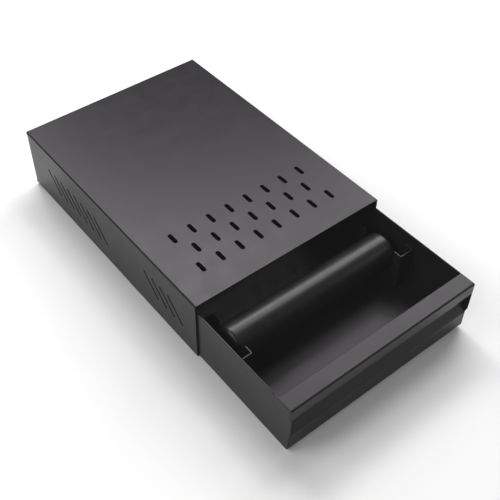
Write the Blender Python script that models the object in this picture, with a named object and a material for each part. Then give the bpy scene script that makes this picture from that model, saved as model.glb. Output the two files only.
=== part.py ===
"""Knock drawer: a sheet-metal casing with a sliding drawer and a round knock bar.

Units are metres, +Z is up. The drawer opens towards -Y. The model is posed with the
drawer pulled part way out, and stands on the plane Z = 0 about the origin.
"""
import math

import bmesh
import bpy
from mathutils import Vector

# Casing: one folded sheet (top, sides, lower ledges, rear ledges) and a rear panel
CASE_W = 0.2000
CASE_D = 0.2770
CASE_H = 0.0650
CASE_T = 0.0012
CASE_BEND = 0.0017
CASE_LEDGE = 0.0140
REAR_LEDGE = 0.0130
REAR_RELIEF = 0.0040

# Running gap between the drawer and the casing, and rest gap between joined pieces
FIT_GAP = 0.0003
SIDE_GAP = 0.0005

# Feet, bumpers and rivets
FOOT_R = 0.0065
FOOT_H = 0.0020
FOOT_CHAMFER = 0.0005
FOOT_INSET_X = 0.0078
FOOT_INSET_Y = 0.0200
BUMPER_R = 0.0040
BUMPER_T = 0.0014
BUMPER_RIM = 0.0005
BUMPER_X = 0.0600
BUMPER_Z = 0.0300
RIVET_SHANK_R = 0.0016
RIVET_HEAD_R = 0.0032
RIVET_HEAD_H = 0.0009
RIVET_TAIL_R = 0.0024
RIVET_TAIL_L = 0.0012
RIVET_HOLE_R = 0.0019
RIVET_IN = 0.0068
RIVET_Z_LOW = 0.0170
RIVET_Z_HIGH = 0.0520

# Drawer
DRAWER_OUT = 0.1144
DRAWER_L = 0.2720
DRAWER_T = 0.0010
DRAWER_DROP = 0.0087
DRAWER_LIFT = 0.0015
BODY_BEND = 0.0015
REAR_WALL_DROP = 0.0040

# Drawer front: rail on top, finger groove below it, lower face
RAIL_D = 0.0150
RAIL_LIP = 0.0120
RAIL_T = 0.0012
RAIL_BEND = 0.0016
FRONT_SETBACK = 0.0015
GROOVE_LOW_Z = 0.0180
GROOVE_HIGH_Z = 0.0280
GROOVE_DEPTH = 0.0060
GROOVE_BEND = 0.0050
FRONT_RETURN = 0.0025
CHEEK_TOP_GAP = 0.0003
CHEEK_LOW_Z = 0.0168
CHEEK_STEP_Z = 0.0238
LEFT_RELIEF_L = 0.0207
SIDE_CORNER = 0.0012

# Knock bar, lying across the drawer in two folded brackets
BAR_Y = 0.0897
BAR_Z = 0.0298
BAR_R = 0.0165
BAR_HALF = 0.0876
BAR_ROUND = 0.0050
CORE_R = 0.0110
CORE_BORE_R = 0.0095
CORE_HALF = 0.0840
PLUG_STEM_R = 0.0092
PLUG_STEM_L = 0.0100
PLUG_FACE_T = 0.0030
PLUG_CHAMFER = 0.0005
BRACKET_T = 0.0012
BRACKET_BEND = 0.0020
BRACKET_IN = 0.0816
BRACKET_HALF_L = 0.0254
BRACKET_TAB = 0.0090
BRACKET_TOP_Z = 0.0426
NOTCH_OVER = 0.0020

# Slots: three staggered rows in the top, slanted groups in both sides
SLOT_L = 0.0120
SLOT_W = 0.0040
SLOT_PITCH = 0.0202
SLOT_ROW_Y = 0.0314
SLOT_COUNTS = (8, 7, 8)
VENT_W = 0.0022
VENT_RUN = 0.0192
VENT_MID_Z = 0.0325
VENT_PITCH = 0.0119
VENT_FRONT_Y = 0.0292
VENT_FRONT_COUNT = 4
VENT_REAR_Y = 0.1466
VENT_REAR_COUNT = 8

# Facets
ROUND_SEGS = 48
SMALL_SEGS = 24
BEND_SEGS = 6
SLOT_SEGS = 6
VENT_SEGS = 4
CORNER_SEGS = 4
DOME_SEGS = 3
SHARP_ANGLE = math.radians(28.0)
AXIS_MARK = 0.0200

# Derived positions
REAR_PROUD = FIT_GAP + RIVET_HEAD_H
CASE_Y0 = -(CASE_D + REAR_PROUD - DRAWER_OUT) / 2.0
CASE_Y1 = CASE_Y0 + CASE_D
CASE_Z0 = FOOT_H
CASE_Z1 = CASE_Z0 + CASE_H
DRAWER_Y0 = CASE_Y0 - DRAWER_OUT
DRAWER_W = CASE_W - 2.0 * (CASE_T + SIDE_GAP)
DRAWER_Z0 = CASE_Z0 + DRAWER_LIFT
DRAWER_H = CASE_H - DRAWER_DROP - DRAWER_LIFT
PANEL_Y1 = CASE_Y1 - CASE_T - FIT_GAP
PANEL_Y0 = PANEL_Y1 - CASE_T


# ---------------------------------------------------------------- scene and materials

def clear_scene():
    """Remove every object in the open scene."""
    for obj in list(bpy.data.objects):
        bpy.data.objects.remove(obj, do_unlink=True)


def material(name, color, roughness, metallic):
    """Principled material with one colour, roughness and metallic value."""
    mat = bpy.data.materials.new(name)
    mat.use_nodes = True
    shader = mat.node_tree.nodes["Principled BSDF"]
    shader.inputs["Base Color"].default_value = (*color, 1.0)
    shader.inputs["Roughness"].default_value = roughness
    shader.inputs["Metallic"].default_value = metallic
    return mat


def black_coat(name):
    """Satin black powder coat on sheet metal."""
    return material(name, (0.030, 0.029, 0.031), 0.42, 0.0)


def dark_rubber(name):
    """Matt black rubber."""
    return material(name, (0.017, 0.017, 0.018), 0.60, 0.0)


def steel(name):
    """Bare steel."""
    return material(name, (0.52, 0.52, 0.54), 0.34, 1.0)


def black_plastic(name):
    """Moulded black plastic."""
    return material(name, (0.022, 0.022, 0.023), 0.50, 0.0)


# ---------------------------------------------------------------- mesh helpers

def add_object(name, bm, mat, parent=None):
    """Turn a bmesh into a named object with outward faces and shading by angle."""
    bmesh.ops.recalc_face_normals(bm, faces=bm.faces)
    mesh = bpy.data.meshes.new(name)
    bm.to_mesh(mesh)
    bm.free()
    for poly in mesh.polygons:
        poly.use_smooth = True
    mesh.set_sharp_from_angle(angle=SHARP_ANGLE)
    if mat is not None:
        mesh.materials.append(mat)
    obj = bpy.data.objects.new(name, mesh)
    bpy.context.scene.collection.objects.link(obj)
    if parent is not None:
        obj.parent = parent
    return obj


def add_axis_empty(name, location, parent=None):
    """Empty that marks a joint's axis."""
    empty = bpy.data.objects.new(name, None)
    empty.empty_display_size = AXIS_MARK
    empty.location = location
    bpy.context.scene.collection.objects.link(empty)
    if parent is not None:
        empty.parent = parent
    return empty


def bent_sheet(path, radius, thickness, side, radii=None):
    """Both faces of a sheet folded along a path of 2D corner points.

    The path is the sheet's first face. The second face lies one thickness away, on
    the left of the path for side = 1 and on its right for side = -1. radius is the
    outer bend radius; radii gives other values by corner index.
    """
    first = [Vector(path[0])]
    heading = (Vector(path[1]) - Vector(path[0])).normalized()
    normal = Vector((-heading.y, heading.x)) * side
    second = [Vector(path[0]) + normal * thickness]
    for i in range(1, len(path) - 1):
        corner = Vector(path[i])
        u = (corner - Vector(path[i - 1])).normalized()
        v = (Vector(path[i + 1]) - corner).normalized()
        turn = math.atan2(u.x * v.y - u.y * v.x, u.dot(v))
        sign = 1.0 if turn > 0.0 else -1.0
        outer = (radii or {}).get(i, radius)
        towards_second = sign == side
        r_first = outer if towards_second else outer - thickness
        r_second = outer - thickness if towards_second else outer
        start = corner - u * r_first * math.tan(abs(turn) / 2.0)
        inward = Vector((-u.y, u.x)) * sign
        centre = start + inward * r_first
        for k in range(BEND_SEGS + 1):
            angle = turn * k / BEND_SEGS
            cos_a, sin_a = math.cos(angle), math.sin(angle)
            spoke = Vector((-inward.x * cos_a + inward.y * sin_a,
                            -inward.x * sin_a - inward.y * cos_a))
            first.append(centre + spoke * r_first)
            second.append(centre + spoke * r_second)
    heading = (Vector(path[-1]) - Vector(path[-2])).normalized()
    normal = Vector((-heading.y, heading.x)) * side
    first.append(Vector(path[-1]))
    second.append(Vector(path[-1]) + normal * thickness)
    return first, second


def place(axis, u, v, w):
    """3D point from two section coordinates and one along the extrusion axis."""
    if axis == "X":
        return (w, u, v)
    if axis == "Y":
        return (u, w, v)
    return (u, v, w)


def sheet_prism(first, second, axis, low, high, bm=None):
    """Bmesh of a folded sheet, extruded along an axis."""
    bm = bm or bmesh.new()
    rings = []
    for w in (low, high):
        rings.append(([bm.verts.new(place(axis, p.x, p.y, w)) for p in first],
                      [bm.verts.new(place(axis, p.x, p.y, w)) for p in second]))
    (a0, b0), (a1, b1) = rings
    for i in range(len(first) - 1):
        bm.faces.new((a0[i], a0[i + 1], a1[i + 1], a1[i]))
        bm.faces.new((b0[i], b1[i], b1[i + 1], b0[i + 1]))
        bm.faces.new((a0[i], b0[i], b0[i + 1], a0[i + 1]))
        bm.faces.new((a1[i], a1[i + 1], b1[i + 1], b1[i]))
    bm.faces.new((a0[0], a1[0], b1[0], b0[0]))
    bm.faces.new((a0[-1], b0[-1], b1[-1], a1[-1]))
    return bm


def plate_prism(outline, axis, low, high, bm=None):
    """Bmesh of a flat plate with a 2D outline, extruded along an axis."""
    bm = bm or bmesh.new()
    lower = [bm.verts.new(place(axis, u, v, low)) for u, v in outline]
    upper = [bm.verts.new(place(axis, u, v, high)) for u, v in outline]
    count = len(outline)
    for i in range(count):
        j = (i + 1) % count
        bm.faces.new((lower[i], lower[j], upper[j], upper[i]))
    bm.faces.new(list(reversed(lower)))
    bm.faces.new(upper)
    return bm


def obround(centre_u, centre_v, length, width, angle, segs=SLOT_SEGS):
    """Outline of a slot with round ends, its long axis at an angle to the first axis."""
    radius = width / 2.0
    half = length / 2.0 - radius
    points = []
    for end in (1.0, -1.0):
        for k in range(segs + 1):
            a = -math.pi / 2.0 + math.pi * k / segs
            u = end * (half + radius * math.cos(a))
            v = end * radius * math.sin(a)
            points.append((centre_u + u * math.cos(angle) - v * math.sin(angle),
                           centre_v + u * math.sin(angle) + v * math.cos(angle)))
    return points


def circle(centre_u, centre_v, radius, segs=SMALL_SEGS):
    """Outline of a circle."""
    return [(centre_u + radius * math.cos(2.0 * math.pi * k / segs),
             centre_v + radius * math.sin(2.0 * math.pi * k / segs)) for k in range(segs)]


def turned(profile, axis, segs):
    """Bmesh of a solid of revolution about an axis through the local origin.

    profile lists (distance along the axis, radius) and runs between two points on
    the axis, or closes on itself when the solid has a bore.
    """
    bm = bmesh.new()
    rings = []
    for along, radius in profile:
        if radius == 0.0:
            rings.append([bm.verts.new(place(axis, 0.0, 0.0, along))])
            continue
        ring = []
        for k in range(segs):
            a = 2.0 * math.pi * k / segs
            ring.append(bm.verts.new(place(axis, radius * math.cos(a),
                                           radius * math.sin(a), along)))
        rings.append(ring)
    pairs = list(zip(rings, rings[1:]))
    if profile[0][1] != 0.0:
        pairs.append((rings[-1], rings[0]))
    for one, two in pairs:
        for k in range(segs):
            j = (k + 1) % segs
            corners = [one[k % len(one)], one[j % len(one)],
                       two[j % len(two)], two[k % len(two)]]
            unique = list(dict.fromkeys(corners))
            bm.faces.new(unique)
    return bm


def dome(base, rise, radius):
    """Profile points of a dome, from its rim at base to its crown on the axis."""
    points = []
    for k in range(DOME_SEGS):
        a = math.pi / 2.0 * k / DOME_SEGS
        points.append((base + rise * math.sin(a), radius * math.cos(a)))
    points.append((base + rise, 0.0))
    return points


def rounded_corner(corner, start, end):
    """Points of a quarter ellipse from start to end around an outline's corner."""
    points = []
    for k in range(CORNER_SEGS + 1):
        a = math.pi / 2.0 * k / CORNER_SEGS
        s, c = 1.0 - math.sin(a), 1.0 - math.cos(a)
        points.append((corner[0] + (start[0] - corner[0]) * s + (end[0] - corner[0]) * c,
                       corner[1] + (start[1] - corner[1]) * s + (end[1] - corner[1]) * c))
    return points


def add_cutter(name, bm, parent=None):
    """Hidden wire object that only cuts or joins through a modifier."""
    obj = add_object(name, bm, None, parent)
    obj.hide_render = True
    obj.display_type = "WIRE"
    return obj


def boolean(obj, tool, operation):
    """Exact Boolean modifier."""
    mod = obj.modifiers.new(operation.lower() + "_" + tool.name, "BOOLEAN")
    mod.operation = operation
    mod.solver = "EXACT"
    mod.object = tool


# ---------------------------------------------------------------- casing

def top_slots_tool():
    """Cutter for the staggered rows of slots in the casing's top."""
    bm = bmesh.new()
    for row, count in enumerate(SLOT_COUNTS):
        y = CASE_Y0 + SLOT_ROW_Y + row * SLOT_PITCH
        for i in range(count):
            x = (i - (count - 1) / 2.0) * SLOT_PITCH
            outline = obround(x, y, SLOT_L, SLOT_W, math.pi / 2.0)
            plate_prism(outline, "Z", CASE_Z1 - 3.0 * CASE_T, CASE_Z1 + CASE_T, bm)
    return add_cutter("cut_top_slots", bm)


def side_vents_tool():
    """Cutter for the slanted slots, right through both sides of the casing."""
    bm = bmesh.new()
    length = VENT_RUN * math.sqrt(2.0) + VENT_W
    for start, count in ((VENT_FRONT_Y, VENT_FRONT_COUNT), (VENT_REAR_Y, VENT_REAR_COUNT)):
        for i in range(count):
            y = CASE_Y0 + start + i * VENT_PITCH
            outline = obround(y, CASE_Z0 + VENT_MID_Z, length, VENT_W, math.pi / 4.0,
                              VENT_SEGS)
            plate_prism(outline, "X", -CASE_W, CASE_W, bm)
    return add_cutter("cut_side_vents", bm)


def rivet_places():
    """Name, X and Z of each rear rivet."""
    x = CASE_W / 2.0 - RIVET_IN
    places = []
    for level, z in (("low", RIVET_Z_LOW), ("high", RIVET_Z_HIGH)):
        for hand, sign in (("left", -1.0), ("right", 1.0)):
            places.append((level + "_" + hand, sign * x, z))
    return places


def rivet_holes_tool():
    """Cutter for the rivet holes in the rear ledges and the rear panel."""
    bm = bmesh.new()
    for _, x, z in rivet_places():
        plate_prism(circle(x, z, RIVET_HOLE_R), "Y", PANEL_Y0 - CASE_T, CASE_Y1 + CASE_T, bm)
    return add_cutter("cut_rivet_holes", bm)


def rear_relief_tool():
    """Cutter that clears the casing's rear side edges for the ledges' bends."""
    bm = bmesh.new()
    y = CASE_Y1 - CASE_BEND
    z0 = CASE_Z0 + REAR_RELIEF - CASE_T
    z1 = CASE_Z1 - REAR_RELIEF + CASE_T
    for sign in (-1.0, 1.0):
        low, high = sorted((sign * (CASE_W / 2.0 - 2.0 * CASE_T), sign * CASE_W))
        box = [(y, z0), (CASE_Y1 + CASE_T, z0), (CASE_Y1 + CASE_T, z1), (y, z1)]
        plate_prism(box, "X", low, high, bm)
    return add_cutter("cut_rear_relief", bm)


def rear_ledges_tool():
    """The two ledges folded in from the rear ends of the casing's sides."""
    bm = bmesh.new()
    z0 = CASE_Z0 + REAR_RELIEF
    z1 = CASE_Z1 - REAR_RELIEF
    for sign in (-1.0, 1.0):
        side_x = sign * CASE_W / 2.0
        path = [(side_x, CASE_Y1 - REAR_LEDGE), (side_x, CASE_Y1),
                (side_x - sign * REAR_LEDGE, CASE_Y1)]
        sheet_prism(*bent_sheet(path, CASE_BEND, CASE_T, sign), "Z", z0, z1, bm)
    return add_cutter("join_rear_ledges", bm)


def build_casing(holes):
    """Folded casing and the rear panel riveted inside its rear ledges."""
    half = CASE_W / 2.0
    path = [(-half + CASE_LEDGE, CASE_Z0), (-half, CASE_Z0), (-half, CASE_Z1),
            (half, CASE_Z1), (half, CASE_Z0), (half - CASE_LEDGE, CASE_Z0)]
    first, second = bent_sheet(path, CASE_BEND, CASE_T, -1.0)
    shell = add_object("casing_shell", sheet_prism(first, second, "Y", CASE_Y0, CASE_Y1),
                       black_coat("casing_shell"))
    boolean(shell, rear_relief_tool(), "DIFFERENCE")
    boolean(shell, rear_ledges_tool(), "UNION")
    boolean(shell, top_slots_tool(), "DIFFERENCE")
    boolean(shell, side_vents_tool(), "DIFFERENCE")
    boolean(shell, holes, "DIFFERENCE")

    x = half - CASE_T - SIDE_GAP
    z0 = CASE_Z0 + CASE_T + FIT_GAP
    z1 = CASE_Z1 - CASE_T - FIT_GAP
    cut = CASE_BEND
    outline = [(-x + cut, z0), (x - cut, z0), (x, z0 + cut), (x, z1 - cut),
               (x - cut, z1), (-x + cut, z1), (-x, z1 - cut), (-x, z0 + cut)]
    panel = add_object("casing_rear_panel", plate_prism(outline, "Y", PANEL_Y0, PANEL_Y1),
                       black_coat("casing_rear_panel"))
    boolean(panel, holes, "DIFFERENCE")


def build_rivets():
    """Blind rivets that hold the rear panel, domed heads outside."""
    inner = -(CASE_Y1 - PANEL_Y0) - FIT_GAP
    tail = inner - RIVET_TAIL_L
    profile = [(tail, 0.0), (tail, RIVET_SHANK_R), ((tail + inner) / 2.0, RIVET_TAIL_R),
               (inner, RIVET_TAIL_R), (inner, RIVET_SHANK_R), (FIT_GAP, RIVET_SHANK_R)]
    profile += dome(FIT_GAP, RIVET_HEAD_H, RIVET_HEAD_R)
    for label, x, z in rivet_places():
        name = "rear_rivet_" + label
        obj = add_object(name, turned(profile, "Y", SMALL_SEGS), black_coat(name))
        obj.location = (x, CASE_Y1, z)


def build_feet():
    """Four round rubber feet under the casing's lower ledges."""
    top = FOOT_H - FIT_GAP
    profile = [(0.0, 0.0), (0.0, FOOT_R - FOOT_CHAMFER), (FOOT_CHAMFER, FOOT_R),
               (top, FOOT_R), (top, 0.0)]
    x = CASE_W / 2.0 - FOOT_INSET_X
    for end, y in (("front", CASE_Y0 + FOOT_INSET_Y), ("rear", CASE_Y1 - FOOT_INSET_Y)):
        for hand, sign in (("left", -1.0), ("right", 1.0)):
            name = "foot_" + end + "_" + hand
            obj = add_object(name, turned(profile, "Z", SMALL_SEGS), dark_rubber(name))
            obj.location = (sign * x, y, 0.0)


def build_bumpers():
    """Two rubber dots on the rear panel that the closed drawer meets."""
    profile = [(-FIT_GAP, 0.0), (-FIT_GAP, BUMPER_R)]
    profile += dome(-FIT_GAP - BUMPER_RIM, BUMPER_RIM - BUMPER_T, BUMPER_R)
    for hand, sign in (("left", -1.0), ("right", 1.0)):
        name = "bumper_" + hand
        obj = add_object(name, turned(profile, "Y", SMALL_SEGS), dark_rubber(name))
        obj.location = (sign * BUMPER_X, PANEL_Y0, BUMPER_Z)


# ---------------------------------------------------------------- drawer

def build_drawer_body(axis_empty):
    """Floor, rear wall and grooved front wall, folded from one strip."""
    top = DRAWER_H - RAIL_T - FIT_GAP - DRAWER_T
    path = [(DRAWER_L, DRAWER_H - REAR_WALL_DROP), (DRAWER_L, 0.0), (FRONT_SETBACK, 0.0),
            (FRONT_SETBACK, GROOVE_LOW_Z), (GROOVE_DEPTH, GROOVE_HIGH_Z),
            (GROOVE_DEPTH, top), (FRONT_RETURN, top)]
    first, second = bent_sheet(path, BODY_BEND, DRAWER_T, -1.0,
                               {3: GROOVE_BEND, 4: 2.0 * BODY_BEND})
    x = DRAWER_W / 2.0 - DRAWER_T - FIT_GAP
    return add_object("drawer_body", sheet_prism(first, second, "X", -x, x),
                      black_coat("drawer_body"), axis_empty)


def side_outline(relief):
    """Side plate seen along X: relieved under the rail, stepped beside the groove."""
    rail_low = DRAWER_H - RAIL_T - FIT_GAP
    lip_low = DRAWER_H - RAIL_LIP - CHEEK_TOP_GAP
    outline = [(DRAWER_L, 0.0), (DRAWER_L, DRAWER_H), (relief, DRAWER_H),
               (relief, rail_low), (FRONT_SETBACK, rail_low), (FRONT_SETBACK, lip_low),
               (0.0, lip_low), (0.0, CHEEK_STEP_Z), (FRONT_SETBACK, CHEEK_LOW_Z)]
    corner = (FRONT_SETBACK, 0.0)
    outline += rounded_corner(corner, (FRONT_SETBACK, SIDE_CORNER),
                              (FRONT_SETBACK + SIDE_CORNER, 0.0))
    return outline


def build_drawer_sides(axis_empty):
    """Flat side plates of the drawer; the left one's relief runs on behind the rail."""
    outer = DRAWER_W / 2.0
    for hand, sign, relief in (("left", -1.0, LEFT_RELIEF_L), ("right", 1.0, RAIL_D + FIT_GAP)):
        name = "drawer_side_" + hand
        low, high = sorted((sign * outer, sign * (outer - DRAWER_T)))
        add_object(name, plate_prism(side_outline(relief), "X", low, high), black_coat(name),
                   axis_empty)


def build_rail(axis_empty):
    """Angle along the drawer's top front edge, with the lip the fingers pull."""
    path = [(RAIL_D, DRAWER_H), (0.0, DRAWER_H), (0.0, DRAWER_H - RAIL_LIP)]
    first, second = bent_sheet(path, RAIL_BEND, RAIL_T, 1.0)
    half = DRAWER_W / 2.0
    add_object("drawer_top_rail", sheet_prism(first, second, "X", -half, half),
               black_coat("drawer_top_rail"), axis_empty)


def bar_notch():
    """Outline of the round-bottomed notch that holds the bar, open at the top."""
    radius = BAR_R + FIT_GAP
    over = BRACKET_TOP_Z + NOTCH_OVER
    outline = [(BAR_Y + radius, over), (BAR_Y - radius, over)]
    half_turn = ROUND_SEGS // 2
    for k in range(half_turn + 1):
        a = math.pi + math.pi * k / half_turn
        outline.append((BAR_Y + radius * math.cos(a), BAR_Z + radius * math.sin(a)))
    return outline


def build_brackets(axis_empty):
    """Channel-shaped brackets on the drawer's sides, notched for the bar."""
    wall = DRAWER_W / 2.0 - DRAWER_T - FIT_GAP
    y0 = BAR_Y - BRACKET_HALF_L
    y1 = BAR_Y + BRACKET_HALF_L
    for hand, sign in (("left", -1.0), ("right", 1.0)):
        outline = [(sign * wall, y0 + BRACKET_TAB), (sign * wall, y0),
                   (sign * BRACKET_IN, y0), (sign * BRACKET_IN, y1),
                   (sign * wall, y1), (sign * wall, y1 - BRACKET_TAB)]
        first, second = bent_sheet(outline, BRACKET_BEND, BRACKET_T, -sign)
        name = "bar_bracket_" + hand
        obj = add_object(name, sheet_prism(first, second, "Z", DRAWER_T + FIT_GAP,
                                           BRACKET_TOP_Z), black_coat(name), axis_empty)
        low, high = sorted((sign * (BRACKET_IN - NOTCH_OVER),
                            sign * (BRACKET_IN + BRACKET_T + NOTCH_OVER)))
        cutter = add_cutter("cut_notch_" + hand, plate_prism(bar_notch(), "X", low, high),
                            axis_empty)
        boolean(obj, cutter, "DIFFERENCE")


# ---------------------------------------------------------------- knock bar

def build_bar(axis_empty):
    """Steel tube, thick rubber sleeve over it and a plug in each end."""
    core = [(-CORE_HALF, CORE_BORE_R), (-CORE_HALF, CORE_R),
            (CORE_HALF, CORE_R), (CORE_HALF, CORE_BORE_R)]
    add_object("bar_core", turned(core, "X", ROUND_SEGS), steel("bar_core"), axis_empty)

    bore = CORE_R + FIT_GAP
    rim = []
    for k in range(CORNER_SEGS + 1):
        a = math.pi / 2.0 * k / CORNER_SEGS
        rim.append((BAR_HALF - BAR_ROUND * (1.0 - math.cos(a)),
                    BAR_R - BAR_ROUND * (1.0 - math.sin(a))))
    sleeve = [(-BAR_HALF, bore)] + [(-along, radius) for along, radius in rim]
    sleeve += list(reversed(rim)) + [(BAR_HALF, bore)]
    add_object("bar_sleeve", turned(sleeve, "X", ROUND_SEGS), dark_rubber("bar_sleeve"),
               axis_empty)

    tip = CORE_HALF - PLUG_STEM_L
    flange = CORE_HALF + FIT_GAP
    face = flange + PLUG_FACE_T
    profile = [(tip, 0.0), (tip, PLUG_STEM_R - PLUG_CHAMFER), (tip + PLUG_CHAMFER, PLUG_STEM_R),
               (flange, PLUG_STEM_R), (flange, CORE_R), (face - PLUG_CHAMFER, CORE_R),
               (face, CORE_R - PLUG_CHAMFER), (face, 0.0)]
    for hand, sign in (("left", -1.0), ("right", 1.0)):
        plug = [(sign * along, radius) for along, radius in profile]
        name = "bar_plug_" + hand
        add_object(name, turned(plug, "X", ROUND_SEGS), black_plastic(name), axis_empty)


def build():
    """Whole part: casing, then the drawer on its slide, then the bar in the drawer."""
    clear_scene()
    build_casing(rivet_holes_tool())
    build_rivets()
    build_feet()
    build_bumpers()
    slide = add_axis_empty("drawer_slide_axis", (0.0, DRAWER_Y0, DRAWER_Z0))
    build_drawer_body(slide)
    build_drawer_sides(slide)
    build_rail(slide)
    build_brackets(slide)
    spin = add_axis_empty("bar_spin_axis", (0.0, BAR_Y, BAR_Z), slide)
    build_bar(spin)


build()
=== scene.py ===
"""Looks of the knock drawer: folded black sheet metal, a rubber bar and small hardware.

Every visible piece is rebuilt here as a finer mesh in the place of its CAD node, in metres,
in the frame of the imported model.
"""
import math

import bmesh
import bpy
from mathutils import Matrix, Vector


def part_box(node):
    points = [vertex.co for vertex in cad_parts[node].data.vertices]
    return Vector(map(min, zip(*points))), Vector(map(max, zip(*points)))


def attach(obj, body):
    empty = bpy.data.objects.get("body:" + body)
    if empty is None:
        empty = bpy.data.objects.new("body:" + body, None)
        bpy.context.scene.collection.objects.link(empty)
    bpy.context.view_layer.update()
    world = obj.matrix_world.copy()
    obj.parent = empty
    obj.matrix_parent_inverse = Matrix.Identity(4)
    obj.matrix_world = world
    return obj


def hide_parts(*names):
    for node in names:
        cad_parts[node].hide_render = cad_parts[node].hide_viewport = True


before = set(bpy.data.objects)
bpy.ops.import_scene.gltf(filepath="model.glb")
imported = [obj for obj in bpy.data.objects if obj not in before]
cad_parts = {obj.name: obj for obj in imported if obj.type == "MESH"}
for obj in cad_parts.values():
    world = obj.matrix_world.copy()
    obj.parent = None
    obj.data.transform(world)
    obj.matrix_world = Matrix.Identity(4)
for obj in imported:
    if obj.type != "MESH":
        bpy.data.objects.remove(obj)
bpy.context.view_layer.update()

# Boxes of the CAD nodes that the pieces are placed by
SHELL_LO, SHELL_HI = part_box("casing_shell")
PANEL_LO, PANEL_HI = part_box("casing_rear_panel")
BODY_LO, BODY_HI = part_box("drawer_body")
SIDE_LO, SIDE_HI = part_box("drawer_side_right")
RAIL_LO, RAIL_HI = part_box("drawer_top_rail")
BRACKET_LO, BRACKET_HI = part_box("bar_bracket_right")
SLEEVE_LO, SLEEVE_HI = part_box("bar_sleeve")
CORE_LO, CORE_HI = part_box("bar_core")
PLUG_LO, PLUG_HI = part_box("bar_plug_right")

# Casing
CASE_T = 0.0012
CASE_BEND = 0.0017
CASE_LEDGE = 0.0140
REAR_LEDGE = 0.0130
REAR_RELIEF = 0.0040
SLOT_L = 0.0120
SLOT_W = 0.0040
SLOT_PITCH = 0.0202
SLOT_ROW_Y = 0.0314
SLOT_COUNTS = (8, 7, 8)
VENT_W = 0.0022
VENT_RUN = 0.0192
VENT_MID_Z = 0.0325
VENT_PITCH = 0.0119
VENT_GROUPS = ((0.0292, 4), (0.1466, 8))
RIVET_HOLE_R = 0.0019

# Drawer
BODY_BEND = 0.0015
DRAWER_T = SIDE_HI.x - SIDE_LO.x
RAIL_T = 0.0012
RAIL_BEND = 0.0016
GROOVE_LOW_Z = 0.0180
GROOVE_HIGH_Z = 0.0280
GROOVE_DEPTH = 0.0060
GROOVE_BEND = 0.0050
FRONT_RETURN = 0.0025
CHEEK_LOW_Z = 0.0168
CHEEK_STEP_Z = 0.0238
LEFT_RELIEF_L = 0.0207
REAR_WALL_DROP = 0.0040
SIDE_CORNER = 0.0012
FIT_GAP = 0.0003

# Rivets
RIVET_R = 0.0016
RIVET_TAIL_R = 0.0024
RIVET_TAIL_L = 0.0006
RIVET_CHAMFER = 0.0001
RIVET_RIM = 0.0002
RIVET_EYE_R = 0.0011
RIVET_EYE_DEPTH = 0.0003
RIVET_STEM_R = 0.0006
RIVET_STEM_RING = 0.00015

# Feet: depths in the sole, and radii as shares of the foot's radius
FOOT_DISH = 0.0005
FOOT_DISH_R = (0.45, 0.52)
FOOT_GROOVE = 0.0003
FOOT_GROOVE_R = (0.66, 0.70, 0.76, 0.80)
FOOT_ROUND = ((0.0, 0.0006), (0.0003, 0.0002), (0.0008, 0.0))

# Bumpers: a power under 1 gives the dome full shoulders
BUMPER_POWER = 0.6

# Knock bar and its brackets
BRACKET_T = 0.0012
BRACKET_BEND = 0.0020
BRACKET_TAB = 0.0090
NOTCH_OVER = 0.0020
BAR_R = (SLEEVE_HI.z - SLEEVE_LO.z) / 2.0
BAR_AXIS = (SLEEVE_LO + SLEEVE_HI) / 2.0
BAR_ROUND = 0.0050
CORE_BORE_R = 0.0095
CORE_EDGE = 0.0002
PLUG_STEM_R = 0.0092
PLUG_TAPER = 0.0005
PLUG_TAPER_L = 0.0010
PLUG_ROUND = ((0.0006, 0.0), (0.0002, 0.0002), (0.0, 0.0006))
PLUG_DISH = ((0.0, 0.0072), (0.0003, 0.0066), (0.0006, 0.0062), (0.0006, 0.0))

# Powder coat: textures in features per metre, heights in metres
COAT_SHEEN = 0.215
TRAY_SHEEN = 0.165
COAT_TINT = (1.0, 0.92, 0.985)
COAT_DARK = (0.0105, 0.0099, 0.0109)
COAT_LIGHT = (0.0127, 0.0120, 0.0132)
COAT_EDGE_DARK = (0.0100, 0.0096, 0.0105)
COAT_EDGE_LIGHT = (0.0131, 0.0125, 0.0136)
COAT_MOTTLE = 60.0
COAT_PEEL = 900.0
COAT_PEEL_H = 0.000012
COAT_SKIN = 2200.0
COAT_SKIN_H = 0.000006

# Rubber, plastic and steel
RUBBER_SHEEN = 0.32
RUBBER_BLOOM = 90.0
RUBBER_SKIN = 1800.0
RUBBER_SKIN_H = 0.000008
STEEL_DARK = (0.42, 0.42, 0.44)
STEEL_LIGHT = (0.58, 0.58, 0.60)
STEEL_LINES = 2500.0
STEEL_LINES_H = 0.000006
STEEL_STRETCH = 0.02

# Studio
LIGHT_RANGE = 2.0
WORLD_STRENGTH = 0.03
BLACK_LIFT = 0.0060
FLOOR_HALF = 6.0
FLOOR_SHADE = 0.78
FLOOR_ROUGH = 0.9

# Camera: its offset runs from the middle of the casing's top front edge
CAMERA_OFFSET = (-0.3304, -0.3449, 0.5062)
CAMERA_AZIMUTH = math.radians(-37.0)
CAMERA_ELEVATION = math.radians(45.48)
CAMERA_ROLL = -0.0131
CAMERA_LENS = 60.02
CAMERA_SENSOR = 36.0
CAMERA_SHIFT = (0.0522, -0.0386)
CAMERA_CLIP = (0.01, 50.0)

# Fineness
BEND_SEGS = 10
SLOT_SEGS = 12
ROUND_SEGS = 96
SLEEVE_SEGS = 128
FOOT_SEGS = 64
SMALL_SEGS = 48
HOLE_SEGS = 32
DOME_SEGS = 10
CROWN_SEGS = 8
CHEEK_SEGS = 6
EDGE_SEGS = 3
COAT_EDGE = 0.0003
PLATE_EDGE = 0.00025
SHARP = math.radians(35.0)

# Sockets of the Mix node when it mixes colours
MIX_FACTOR = 0
MIX_A = 6
MIX_B = 7
MIX_RESULT = 2


# ---------------------------------------------------------------- node helpers

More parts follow.
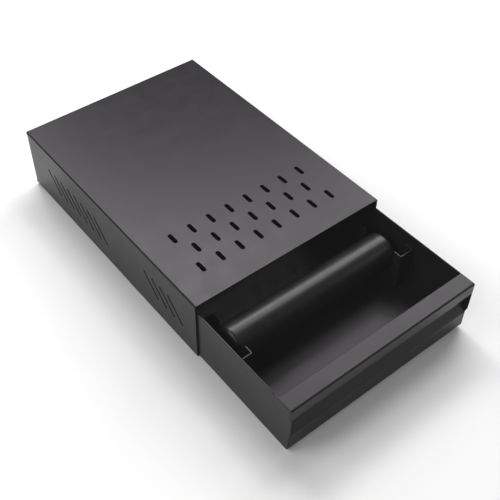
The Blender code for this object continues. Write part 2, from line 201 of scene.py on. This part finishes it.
def new_material(name):
    """New node material; gives it with its node tree and its shader."""
    mat = bpy.data.materials.new(name)
    mat.use_nodes = True
    tree = mat.node_tree
    return mat, tree, tree.nodes["Principled BSDF"]


def add_node(tree, kind, **values):
    """Shader node with its properties set."""
    node = tree.nodes.new(kind)
    for key, value in values.items():
        setattr(node, key, value)
    return node


def noise(tree, coords, scale, detail=2.0, roughness=0.5):
    """Noise texture's value on object coordinates, scale in features per metre."""
    node = add_node(tree, "ShaderNodeTexNoise")
    node.inputs["Scale"].default_value = scale
    node.inputs["Detail"].default_value = detail
    node.inputs["Roughness"].default_value = roughness
    tree.links.new(coords, node.inputs["Vector"])
    return node.outputs["Fac"]


def ranged(tree, value, low, high, from_low=0.3, from_high=0.7):
    """Value mapped from one range to another and clamped."""
    node = add_node(tree, "ShaderNodeMapRange")
    node.inputs["From Min"].default_value = from_low
    node.inputs["From Max"].default_value = from_high
    node.inputs["To Min"].default_value = low
    node.inputs["To Max"].default_value = high
    tree.links.new(value, node.inputs["Value"])
    return node.outputs["Result"]


def mixed(tree, factor, color_a, color_b):
    """Colour between two colours by a factor."""
    node = add_node(tree, "ShaderNodeMix", data_type="RGBA")
    tree.links.new(factor, node.inputs[MIX_FACTOR])
    node.inputs[MIX_A].default_value = (*color_a, 1.0)
    node.inputs[MIX_B].default_value = (*color_b, 1.0)
    return node.outputs[MIX_RESULT]


def bumped(tree, shader, layers):
    """Bump from (height, distance) layers on the shader's normal."""
    normal = None
    for height, distance in layers:
        node = add_node(tree, "ShaderNodeBump")
        node.inputs["Distance"].default_value = distance
        tree.links.new(height, node.inputs["Height"])
        if normal is not None:
            tree.links.new(normal, node.inputs["Normal"])
        normal = node.outputs["Normal"]
    tree.links.new(normal, shader.inputs["Normal"])


# ---------------------------------------------------------------- materials

def powder_coat(name, dark, light, rough_low, rough_high, sheen=COAT_SHEEN):
    """Satin black powder coat: fine orange peel, faint mottling, uneven sheen."""
    mat, tree, shader = new_material(name)
    coords = add_node(tree, "ShaderNodeTexCoord").outputs["Object"]
    mottle = noise(tree, coords, COAT_MOTTLE, 3.0)
    peel = noise(tree, coords, COAT_PEEL)
    skin = noise(tree, coords, COAT_SKIN, 1.0)
    tree.links.new(mixed(tree, ranged(tree, peel, 0.0, 1.0), dark, light),
                   shader.inputs["Base Color"])
    tree.links.new(ranged(tree, mottle, rough_low, rough_high), shader.inputs["Roughness"])
    shader.inputs["Specular IOR Level"].default_value = sheen
    shader.inputs["Specular Tint"].default_value = (*COAT_TINT, 1.0)
    bumped(tree, shader, ((peel, COAT_PEEL_H), (skin, COAT_SKIN_H)))
    return mat


def rubber(name, dark, light, rough_low, rough_high):
    """Moulded black rubber: slight bloom and a fine matt skin."""
    mat, tree, shader = new_material(name)
    coords = add_node(tree, "ShaderNodeTexCoord").outputs["Object"]
    bloom = noise(tree, coords, RUBBER_BLOOM, 4.0, 0.6)
    skin = noise(tree, coords, RUBBER_SKIN)
    tree.links.new(mixed(tree, ranged(tree, bloom, 0.0, 1.0), dark, light),
                   shader.inputs["Base Color"])
    tree.links.new(ranged(tree, bloom, rough_low, rough_high), shader.inputs["Roughness"])
    shader.inputs["Specular IOR Level"].default_value = RUBBER_SHEEN
    bumped(tree, shader, ((skin, RUBBER_SKIN_H),))
    return mat


def drawn_steel(name):
    """Drawn steel tube: fine lines round it and a soft metallic sheen."""
    mat, tree, shader = new_material(name)
    coords = add_node(tree, "ShaderNodeTexCoord").outputs["Object"]
    stretch = add_node(tree, "ShaderNodeMapping")
    stretch.inputs["Scale"].default_value = (STEEL_STRETCH, 1.0, 1.0)
    tree.links.new(coords, stretch.inputs["Vector"])
    lines = noise(tree, stretch.outputs["Vector"], STEEL_LINES)
    tree.links.new(mixed(tree, ranged(tree, lines, 0.0, 1.0), STEEL_DARK, STEEL_LIGHT),
                   shader.inputs["Base Color"])
    tree.links.new(ranged(tree, lines, 0.28, 0.42), shader.inputs["Roughness"])
    shader.inputs["Metallic"].default_value = 1.0
    bumped(tree, shader, ((lines, STEEL_LINES_H),))
    return mat


COAT = powder_coat("black_powder_coat", COAT_DARK, COAT_LIGHT, 0.30, 0.35)
COAT_ROUNDED = powder_coat("black_powder_coat_edges", COAT_EDGE_DARK, COAT_EDGE_LIGHT,
                           0.28, 0.34)
COAT_TRAY = powder_coat("black_powder_coat_tray", COAT_DARK, COAT_LIGHT, 0.32, 0.37,
                        TRAY_SHEEN)
BAR_RUBBER = rubber("bar_rubber", (0.0085, 0.0083, 0.0085), (0.0110, 0.0107, 0.0110), 0.31, 0.37)
FOOT_RUBBER = rubber("foot_rubber", (0.012, 0.012, 0.012), (0.022, 0.022, 0.022), 0.55, 0.7)
PLUG_PLASTIC = rubber("plug_plastic", (0.014, 0.014, 0.015), (0.020, 0.020, 0.021), 0.4, 0.5)
CORE_STEEL = drawn_steel("core_steel")


# ---------------------------------------------------------------- mesh helpers

def bent_sheet(path, radius, thickness, side, radii=None):
    """Both faces of a sheet folded along a path of 2D corner points.

    The path is the sheet's first face. The second face lies one thickness away, on
    the left of the path for side = 1 and on its right for side = -1. radius is the
    outer bend radius; radii gives other values by corner index.
    """
    first = [Vector(path[0])]
    heading = (Vector(path[1]) - Vector(path[0])).normalized()
    second = [Vector(path[0]) + Vector((-heading.y, heading.x)) * side * thickness]
    for i in range(1, len(path) - 1):
        corner = Vector(path[i])
        u = (corner - Vector(path[i - 1])).normalized()
        v = (Vector(path[i + 1]) - corner).normalized()
        turn = math.atan2(u.x * v.y - u.y * v.x, u.dot(v))
        sign = 1.0 if turn > 0.0 else -1.0
        outer = (radii or {}).get(i, radius)
        towards_second = sign == side
        r_first = outer if towards_second else outer - thickness
        r_second = outer - thickness if towards_second else outer
        inward = Vector((-u.y, u.x)) * sign
        centre = corner - u * r_first * math.tan(abs(turn) / 2.0) + inward * r_first
        for k in range(BEND_SEGS + 1):
            spoke = Matrix.Rotation(turn * k / BEND_SEGS, 2) @ -inward
            first.append(centre + spoke * r_first)
            second.append(centre + spoke * r_second)
    heading = (Vector(path[-1]) - Vector(path[-2])).normalized()
    first.append(Vector(path[-1]))
    second.append(Vector(path[-1]) + Vector((-heading.y, heading.x)) * side * thickness)
    return first, second


def place(axis, u, v, w):
    """3D point from two section coordinates and one along the extrusion axis."""
    if axis == "X":
        return (w, u, v)
    if axis == "Y":
        return (u, w, v)
    return (u, v, w)


def prism(outline, axis, low, high, bm=None):
    """Closed prism over a 2D outline, extruded along an axis."""
    bm = bm or bmesh.new()
    lower = [bm.verts.new(place(axis, p[0], p[1], low)) for p in outline]
    upper = [bm.verts.new(place(axis, p[0], p[1], high)) for p in outline]
    count = len(outline)
    for i in range(count):
        j = (i + 1) % count
        bm.faces.new((lower[i], lower[j], upper[j], upper[i]))
    bm.faces.new(list(reversed(lower)))
    bm.faces.new(upper)
    return bm


def folded(path, radius, thickness, side, axis, low, high, radii=None, bm=None):
    """Closed prism of a folded sheet."""
    first, second = bent_sheet(path, radius, thickness, side, radii)
    return prism(first + list(reversed(second)), axis, low, high, bm)


def obround(centre_u, centre_v, length, width, angle):
    """Outline of a slot with round ends, its long axis at an angle to the first axis."""
    radius = width / 2.0
    half = length / 2.0 - radius
    points = []
    for end in (1.0, -1.0):
        for k in range(SLOT_SEGS + 1):
            a = -math.pi / 2.0 + math.pi * k / SLOT_SEGS
            u = end * (half + radius * math.cos(a))
            v = end * radius * math.sin(a)
            points.append((centre_u + u * math.cos(angle) - v * math.sin(angle),
                           centre_v + u * math.sin(angle) + v * math.cos(angle)))
    return points


def circle(centre_u, centre_v, radius):
    """Outline of a small round hole."""
    points = []
    for k in range(HOLE_SEGS):
        a = 2.0 * math.pi * k / HOLE_SEGS
        points.append((centre_u + radius * math.cos(a), centre_v + radius * math.sin(a)))
    return points


def turned(profile, axis, centre, segs=ROUND_SEGS):
    """Solid of revolution about an axis through centre.

    profile lists (distance along the axis, radius) and runs between two points on
    the axis, or closes on itself when the solid has a bore.
    """
    bm = bmesh.new()
    rings = []
    for along, radius in profile:
        count = 1 if radius == 0.0 else segs
        ring = []
        for k in range(count):
            a = 2.0 * math.pi * k / segs
            point = Vector(place(axis, radius * math.cos(a), radius * math.sin(a), along))
            ring.append(bm.verts.new(point + Vector(centre)))
        rings.append(ring)
    pairs = list(zip(rings, rings[1:]))
    if profile[0][1] != 0.0:
        pairs.append((rings[-1], rings[0]))
    for one, two in pairs:
        for k in range(segs):
            j = (k + 1) % segs
            corners = [one[k % len(one)], one[j % len(one)],
                       two[j % len(two)], two[k % len(two)]]
            bm.faces.new(list(dict.fromkeys(corners)))
    return bm


def raw_object(name, bm):
    """Object from a bmesh, faces outward, no material."""
    bmesh.ops.recalc_face_normals(bm, faces=bm.faces)
    mesh = bpy.data.meshes.new(name)
    bm.to_mesh(mesh)
    bm.free()
    obj = bpy.data.objects.new(name, mesh)
    bpy.context.scene.collection.objects.link(obj)
    return obj


def settle(obj):
    """Replaces the object's mesh by its modified mesh and drops the modifiers."""
    bpy.context.view_layer.update()
    graph = bpy.context.evaluated_depsgraph_get()
    mesh = bpy.data.meshes.new_from_object(obj.evaluated_get(graph))
    obj.modifiers.clear()
    old = obj.data
    obj.data = mesh
    bpy.data.meshes.remove(old)


def booleans(obj, steps):
    """Cuts and joins the object by (operation, bmesh) steps."""
    for operation, bm in steps:
        tool = raw_object("tool", bm)
        mod = obj.modifiers.new(operation, "BOOLEAN")
        mod.operation = operation
        mod.solver = "EXACT"
        mod.object = tool
        settle(obj)
        bpy.data.objects.remove(tool, do_unlink=True)


def hold_in_box(mesh, node):
    """Moves the few vertices that rounding put just outside the node's box back onto it."""
    low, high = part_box(node)
    for vertex in mesh.vertices:
        for axis in range(3):
            vertex.co[axis] = min(max(vertex.co[axis], low[axis]), high[axis])


def finish_piece(obj, node, body, material, edge_material=None, edge=COAT_EDGE):
    """Rounds the sharp edges, shades, gives the materials, hangs the piece on its body's empty
    and hides the CAD node.
    """
    mesh = obj.data
    mesh.materials.clear()
    mesh.materials.append(material)
    if edge_material is not None:
        mesh.materials.append(edge_material)
    if edge > 0.0:
        mod = obj.modifiers.new("edges", "BEVEL")
        mod.width = edge
        mod.segments = EDGE_SEGS
        mod.limit_method = "ANGLE"
        mod.angle_limit = SHARP
        mod.use_clamp_overlap = True
        if edge_material is not None:
            mod.material = 1
        settle(obj)
        mesh = obj.data
    hold_in_box(mesh, node)
    for poly in mesh.polygons:
        poly.use_smooth = True
    mesh.set_sharp_from_angle(angle=SHARP)
    mod = obj.modifiers.new("normals", "WEIGHTED_NORMAL")
    mod.mode = "FACE_AREA"
    mod.keep_sharp = True
    settle(obj)
    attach(obj, body)
    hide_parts(node)


# ---------------------------------------------------------------- casing

def top_slots():
    """Cutter for the staggered rows of slots in the casing's top."""
    bm = bmesh.new()
    for row, count in enumerate(SLOT_COUNTS):
        y = SHELL_LO.y + SLOT_ROW_Y + row * SLOT_PITCH
        for i in range(count):
            x = (i - (count - 1) / 2.0) * SLOT_PITCH
            prism(obround(x, y, SLOT_L, SLOT_W, math.pi / 2.0), "Z",
                  SHELL_HI.z - 3.0 * CASE_T, SHELL_HI.z + CASE_T, bm)
    return bm


def side_vents():
    """Cutter for the slanted slots, right through both sides of the casing."""
    bm = bmesh.new()
    length = VENT_RUN * math.sqrt(2.0) + VENT_W
    for start, count in VENT_GROUPS:
        for i in range(count):
            y = SHELL_LO.y + start + i * VENT_PITCH
            prism(obround(y, SHELL_LO.z + VENT_MID_Z, length, VENT_W, math.pi / 4.0), "X",
                  2.0 * SHELL_LO.x, 2.0 * SHELL_HI.x, bm)
    return bm


def rivet_centres():
    """Node name and centre (x, z) of each rear rivet."""
    centres = []
    for level in ("low", "high"):
        for hand in ("left", "right"):
            name = "rear_rivet_" + level + "_" + hand
            lo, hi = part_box(name)
            centres.append((name, (lo.x + hi.x) / 2.0, (lo.z + hi.z) / 2.0))
    return centres


def rivet_holes():
    """Cutter for the rivet holes in the rear ledges and the rear panel."""
    bm = bmesh.new()
    for _, x, z in rivet_centres():
        prism(circle(x, z, RIVET_HOLE_R), "Y", PANEL_LO.y - CASE_T, SHELL_HI.y + CASE_T, bm)
    return bm


def rear_relief():
    """Cutter that clears the casing's rear side edges for the ledges' bends."""
    bm = bmesh.new()
    y = SHELL_HI.y - CASE_BEND
    z0 = SHELL_LO.z + REAR_RELIEF - CASE_T
    z1 = SHELL_HI.z - REAR_RELIEF + CASE_T
    outline = ((y, z0), (SHELL_HI.y + CASE_T, z0), (SHELL_HI.y + CASE_T, z1), (y, z1))
    for sign in (-1.0, 1.0):
        low, high = sorted((sign * (SHELL_HI.x - 2.0 * CASE_T), sign * 2.0 * SHELL_HI.x))
        prism(outline, "X", low, high, bm)
    return bm


def rear_ledges():
    """The two ledges folded in from the rear ends of the casing's sides."""
    bm = bmesh.new()
    for sign in (-1.0, 1.0):
        x = sign * SHELL_HI.x
        path = ((x, SHELL_HI.y - REAR_LEDGE), (x, SHELL_HI.y),
                (x - sign * REAR_LEDGE, SHELL_HI.y))
        folded(path, CASE_BEND, CASE_T, sign, "Z", SHELL_LO.z + REAR_RELIEF,
               SHELL_HI.z - REAR_RELIEF, bm=bm)
    return bm


def make_casing():
    """Folded casing with its slots, and the rear panel."""
    left, right = SHELL_LO.x, SHELL_HI.x
    low, high = SHELL_LO.z, SHELL_HI.z
    path = ((left + CASE_LEDGE, low), (left, low), (left, high), (right, high),
            (right, low), (right - CASE_LEDGE, low))
    shell = raw_object("casing_sheet", folded(path, CASE_BEND, CASE_T, -1.0, "Y",
                                              SHELL_LO.y, SHELL_HI.y))
    booleans(shell, (("DIFFERENCE", rear_relief()), ("UNION", rear_ledges()),
                     ("DIFFERENCE", top_slots()), ("DIFFERENCE", side_vents()),
                     ("DIFFERENCE", rivet_holes())))
    finish_piece(shell, "casing_shell", "casing", COAT, COAT_ROUNDED)

    x, z0, z1, cut = PANEL_HI.x, PANEL_LO.z, PANEL_HI.z, CASE_BEND
    outline = ((-x + cut, z0), (x - cut, z0), (x, z0 + cut), (x, z1 - cut),
               (x - cut, z1), (-x + cut, z1), (-x, z1 - cut), (-x, z0 + cut))
    panel = raw_object("rear_panel_sheet", prism(outline, "Y", PANEL_LO.y, PANEL_HI.y))
    booleans(panel, (("DIFFERENCE", rivet_holes()),))
    finish_piece(panel, "casing_rear_panel", "casing", COAT, COAT_ROUNDED)


def make_rivets():
    """Blind rivets: domed head with the broken stem sunk in its middle."""
    for name, x, z in rivet_centres():
        lo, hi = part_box(name)
        head = (hi.x - lo.x) / 2.0
        face = hi.y
        root = SHELL_HI.y + FIT_GAP
        tail = PANEL_LO.y - FIT_GAP
        rim = root + RIVET_RIM
        eye = face - RIVET_EYE_DEPTH
        profile = [(lo.y, 0.0), (lo.y, RIVET_R), (tail - RIVET_TAIL_L, RIVET_TAIL_R),
                   (tail, RIVET_TAIL_R), (tail, RIVET_R), (root, RIVET_R),
                   (root, head - RIVET_CHAMFER), (rim, head)]
        for k in range(1, CROWN_SEGS + 1):
            a = math.pi / 2.0 * k / CROWN_SEGS
            profile.append((rim + (face - rim) * math.sin(a),
                            RIVET_EYE_R + (head - RIVET_EYE_R) * math.cos(a)))
        profile += [(eye, RIVET_EYE_R - RIVET_CHAMFER),
                    (eye - RIVET_STEM_RING, RIVET_EYE_R - 2.0 * RIVET_CHAMFER),
                    (eye, RIVET_STEM_R), (eye, 0.0)]
        obj = raw_object(name + "_blind", turned(profile, "Y", (x, 0.0, z), SMALL_SEGS))
        finish_piece(obj, name, "casing", COAT, edge=0.0)


def make_feet():
    """Turned rubber feet with a dished sole."""
    for end in ("front", "rear"):
        for hand in ("left", "right"):
            name = "foot_" + end + "_" + hand
            lo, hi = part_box(name)
            centre = ((lo.x + hi.x) / 2.0, (lo.y + hi.y) / 2.0, 0.0)
            radius = (hi.x - lo.x) / 2.0
            dish_in, dish_out = [share * radius for share in FOOT_DISH_R]
            ring = [share * radius for share in FOOT_GROOVE_R]
            profile = [(FOOT_DISH, 0.0), (FOOT_DISH, dish_in), (0.0, dish_out),
                       (0.0, ring[0]), (FOOT_GROOVE, ring[1]), (FOOT_GROOVE, ring[2]),
                       (0.0, ring[3])]
            profile += [(height, radius - cut) for height, cut in FOOT_ROUND]
            profile += [(hi.z, radius), (hi.z, 0.0)]
            obj = raw_object(name + "_turned", turned(profile, "Z", centre, FOOT_SEGS))
            finish_piece(obj, name, "casing", FOOT_RUBBER, edge=0.0)


def make_bumpers():
    """Domed rubber dots on the rear panel."""
    for hand in ("left", "right"):
        name = "bumper_" + hand
        lo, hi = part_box(name)
        radius = (hi.x - lo.x) / 2.0
        depth = hi.y - lo.y
        profile = [(hi.y, 0.0), (hi.y, radius)]
        for k in range(1, DOME_SEGS):
            a = math.pi / 2.0 * k / DOME_SEGS
            profile.append((hi.y - depth * math.sin(a), radius * math.cos(a) ** BUMPER_POWER))
        profile.append((lo.y, 0.0))
        centre = ((lo.x + hi.x) / 2.0, 0.0, (lo.z + hi.z) / 2.0)
        obj = raw_object(name + "_dome", turned(profile, "Y", centre, SMALL_SEGS))
        finish_piece(obj, name, "casing", FOOT_RUBBER, edge=0.0)


# ---------------------------------------------------------------- drawer

def drawer_front():
    """Y of the drawer's front plane and Z of its underside."""
    return SIDE_LO.y, SIDE_LO.z


def make_drawer_body():
    """Floor, rear wall and grooved front wall, folded from one strip."""
    y0, z0 = drawer_front()
    top = BODY_HI.z - DRAWER_T
    path = ((BODY_HI.y, SIDE_HI.z - REAR_WALL_DROP), (BODY_HI.y, z0), (BODY_LO.y, z0),
            (BODY_LO.y, z0 + GROOVE_LOW_Z), (y0 + GROOVE_DEPTH, z0 + GROOVE_HIGH_Z),
            (y0 + GROOVE_DEPTH, top), (y0 + FRONT_RETURN, top))
    obj = raw_object("drawer_tray", folded(path, BODY_BEND, DRAWER_T, -1.0, "X", BODY_LO.x,
                                           BODY_HI.x, {3: GROOVE_BEND, 4: 2.0 * BODY_BEND}))
    finish_piece(obj, "drawer_body", "drawer", COAT_TRAY, COAT_ROUNDED)


def side_outline(relief):
    """Side plate seen along X: relieved under the rail, stepped beside the groove."""
    y0, z0 = drawer_front()
    setback = BODY_LO.y
    lip_low = RAIL_LO.z - FIT_GAP
    rail_low = SIDE_HI.z - RAIL_T - FIT_GAP
    outline = [(SIDE_HI.y, z0), (SIDE_HI.y, SIDE_HI.z), (y0 + relief, SIDE_HI.z),
               (y0 + relief, rail_low), (setback, rail_low), (setback, lip_low),
               (y0, lip_low), (y0, z0 + CHEEK_STEP_Z)]
    step_h = CHEEK_STEP_Z - CHEEK_LOW_Z
    for k in range(1, CHEEK_SEGS + 1):
        a = math.pi / 2.0 * k / CHEEK_SEGS
        outline.append((y0 + (setback - y0) * math.sin(a),
                        z0 + CHEEK_LOW_Z + step_h * (1.0 - k / CHEEK_SEGS)))
    for k in range(CHEEK_SEGS + 1):
        a = math.pi / 2.0 * k / CHEEK_SEGS
        outline.append((setback + SIDE_CORNER * (1.0 - math.cos(a)),
                        z0 + SIDE_CORNER * (1.0 - math.sin(a))))
    return outline


def make_drawer_sides():
    """Flat side plates of the drawer; the left one's relief runs on behind the rail."""
    right_relief = RAIL_HI.y - RAIL_LO.y + FIT_GAP
    for hand, relief in (("left", LEFT_RELIEF_L), ("right", right_relief)):
        name = "drawer_side_" + hand
        lo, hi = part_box(name)
        obj = raw_object(name + "_plate", prism(side_outline(relief), "X", lo.x, hi.x))
        finish_piece(obj, name, "drawer", COAT, COAT_ROUNDED, PLATE_EDGE)


def make_rail():
    """Angle along the drawer's top front edge, with the lip the fingers pull."""
    path = ((RAIL_HI.y, RAIL_HI.z), (RAIL_LO.y, RAIL_HI.z), (RAIL_LO.y, RAIL_LO.z))
    obj = raw_object("drawer_rail_angle", folded(path, RAIL_BEND, RAIL_T, 1.0, "X",
                                                 RAIL_LO.x, RAIL_HI.x))
    finish_piece(obj, "drawer_top_rail", "drawer", COAT, COAT_ROUNDED)


def bar_notch():
    """Outline of the round-bottomed notch that holds the bar, open at the top."""
    radius = BAR_R + FIT_GAP
    over = BRACKET_HI.z + NOTCH_OVER
    outline = [(BAR_AXIS.y + radius, over), (BAR_AXIS.y - radius, over)]
    half_round = ROUND_SEGS // 2
    for k in range(half_round + 1):
        a = math.pi + math.pi * k / half_round
        outline.append((BAR_AXIS.y + radius * math.cos(a), BAR_AXIS.z + radius * math.sin(a)))
    return outline


def make_brackets():
    """Channel-shaped brackets on the drawer's sides, notched for the bar."""
    wall, inner = BRACKET_HI.x, BRACKET_LO.x
    y0, y1 = BRACKET_LO.y, BRACKET_HI.y
    for hand, sign in (("left", -1.0), ("right", 1.0)):
        path = [(sign * wall, y0 + BRACKET_TAB), (sign * wall, y0), (sign * inner, y0),
                (sign * inner, y1), (sign * wall, y1), (sign * wall, y1 - BRACKET_TAB)]
        name = "bar_bracket_" + hand
        obj = raw_object(name + "_fold", folded(path, BRACKET_BEND, BRACKET_T, -sign, "Z",
                                                BRACKET_LO.z, BRACKET_HI.z))
        low, high = sorted((sign * (inner - NOTCH_OVER),
                            sign * (inner + BRACKET_T + NOTCH_OVER)))
        booleans(obj, (("DIFFERENCE", prism(bar_notch(), "X", low, high)),))
        finish_piece(obj, name, "drawer", COAT, COAT_ROUNDED)


# ---------------------------------------------------------------- knock bar

def make_bar():
    """Steel tube, thick rubber sleeve over it, and a plug in each end."""
    core_r = (CORE_HI.z - CORE_LO.z) / 2.0
    centre = (0.0, BAR_AXIS.y, BAR_AXIS.z)
    core = [(CORE_LO.x, CORE_BORE_R), (CORE_LO.x, core_r), (CORE_HI.x, core_r),
            (CORE_HI.x, CORE_BORE_R)]
    obj = raw_object("bar_core_tube", turned(core, "X", centre))
    finish_piece(obj, "bar_core", "bar", CORE_STEEL, edge=CORE_EDGE)

    bore = core_r + FIT_GAP
    arc = []
    for k in range(DOME_SEGS + 1):
        a = math.pi / 2.0 * k / DOME_SEGS
        arc.append((SLEEVE_HI.x - BAR_ROUND * (1.0 - math.cos(a)),
                    BAR_R - BAR_ROUND * (1.0 - math.sin(a))))
    sleeve = [(-SLEEVE_HI.x, bore)] + [(-x, r) for x, r in arc]
    sleeve += list(reversed(arc)) + [(SLEEVE_HI.x, bore)]
    obj = raw_object("bar_rubber_sleeve", turned(sleeve, "X", centre, SLEEVE_SEGS))
    finish_piece(obj, "bar_sleeve", "bar", BAR_RUBBER, edge=0.0)

    for hand, sign in (("left", -1.0), ("right", 1.0)):
        name = "bar_plug_" + hand
        out = PLUG_HI.x
        flange = CORE_HI.x + FIT_GAP
        profile = [(PLUG_LO.x, 0.0), (PLUG_LO.x, PLUG_STEM_R - PLUG_TAPER),
                   (PLUG_LO.x + PLUG_TAPER_L, PLUG_STEM_R), (flange, PLUG_STEM_R),
                   (flange, core_r)]
        profile += [(out - depth, core_r - cut) for depth, cut in PLUG_ROUND]
        profile += [(out - depth, radius) for depth, radius in PLUG_DISH]
        profile = [(sign * along, radius) for along, radius in profile]
        obj = raw_object(name + "_moulded", turned(profile, "X", centre))
        finish_piece(obj, name, "bar", PLUG_PLASTIC, edge=0.0)


make_casing()
make_rivets()
make_feet()
make_bumpers()
make_drawer_body()
make_drawer_sides()
make_rail()
make_brackets()
make_bar()


# ---------------------------------------------------------------- stage, light, camera

def make_floor():
    """Plain pale floor under the part."""
    mat, _, shader = new_material("floor_paper")
    shader.inputs["Base Color"].default_value = (FLOOR_SHADE, FLOOR_SHADE, FLOOR_SHADE, 1.0)
    shader.inputs["Roughness"].default_value = FLOOR_ROUGH
    shader.inputs["Specular IOR Level"].default_value = 0.0
    bm = bmesh.new()
    corners = ((-1.0, -1.0), (1.0, -1.0), (1.0, 1.0), (-1.0, 1.0))
    bm.faces.new([bm.verts.new((x * FLOOR_HALF, y * FLOOR_HALF, 0.0)) for x, y in corners])
    floor = raw_object("floor", bm)
    floor.data.materials.append(mat)


def softbox(name, azimuth, elevation, width, height, power):
    """Soft rectangular light at LIGHT_RANGE that faces the part.

    azimuth is clockwise from +Y as seen from above, both angles are in degrees.
    """
    data = bpy.data.lights.new(name, "AREA")
    data.shape = "RECTANGLE"
    data.size = width
    data.size_y = height
    data.energy = power
    light = bpy.data.objects.new(name, data)
    a, e = math.radians(azimuth), math.radians(elevation)
    away = Vector((math.sin(a) * math.cos(e), math.cos(a) * math.cos(e), math.sin(e)))
    light.location = away * LIGHT_RANGE
    light.rotation_euler = (-away).to_track_quat("-Z", "Y").to_euler()
    bpy.context.scene.collection.objects.link(light)


def make_lights():
    """Soft studio light: boxes over the rear and weaker ones round the part."""
    softbox("light_rear", 25.0, 54.0, 1.00, 0.45, 20.0)
    softbox("light_rear_left", 5.0, 44.0, 0.55, 0.65, 8.5)
    softbox("light_rear_right", 68.0, 44.0, 0.95, 0.70, 15.0)
    softbox("light_rear_right_high", 72.0, 63.0, 0.60, 0.45, 6.5)
    softbox("light_left_side", -90.0, 45.0, 1.00, 0.80, 7.5)
    softbox("light_left", -65.0, 49.0, 0.90, 1.10, 9.0)
    softbox("light_front_left", -120.0, 35.0, 0.90, 0.80, 7.0)
    softbox("light_front_right", 120.0, 25.0, 1.00, 0.80, 6.0)


def make_world():
    """Faint white surroundings, and darkest tones lifted to a dark grey."""
    world = bpy.data.worlds.new("studio")
    world.use_nodes = True
    background = world.node_tree.nodes["Background"]
    background.inputs["Color"].default_value = (1.0, 1.0, 1.0, 1.0)
    background.inputs["Strength"].default_value = WORLD_STRENGTH
    bpy.context.scene.world = world
    view = bpy.context.scene.view_settings
    view.view_transform = "Standard"
    view.use_curve_mapping = True
    view.curve_mapping.black_level = (-BLACK_LIFT, -BLACK_LIFT, -BLACK_LIFT)
    view.curve_mapping.update()


def make_camera():
    """Camera at the viewing angle: over the front left corner, looking down."""
    data = bpy.data.cameras.new("camera")
    data.sensor_width = CAMERA_SENSOR
    data.lens = CAMERA_LENS
    data.shift_x, data.shift_y = CAMERA_SHIFT
    data.clip_start, data.clip_end = CAMERA_CLIP
    camera = bpy.data.objects.new("camera", data)
    flat = math.cos(CAMERA_ELEVATION)
    forward = Vector((-math.sin(CAMERA_AZIMUTH) * flat, math.cos(CAMERA_AZIMUTH) * flat,
                      -math.sin(CAMERA_ELEVATION)))
    level = forward.cross(Vector((0.0, 0.0, 1.0))).normalized()
    plumb = level.cross(forward)
    right = level * math.cos(CAMERA_ROLL) + plumb * math.sin(CAMERA_ROLL)
    up = plumb * math.cos(CAMERA_ROLL) - level * math.sin(CAMERA_ROLL)
    turn = Matrix((right, up, -forward)).transposed()
    spot = Vector((0.0, SHELL_LO.y, SHELL_HI.z)) + Vector(CAMERA_OFFSET)
    camera.matrix_world = Matrix.Translation(spot) @ turn.to_4x4()
    bpy.context.scene.collection.objects.link(camera)
    bpy.context.scene.camera = camera


make_floor()
make_lights()
make_world()
make_camera()
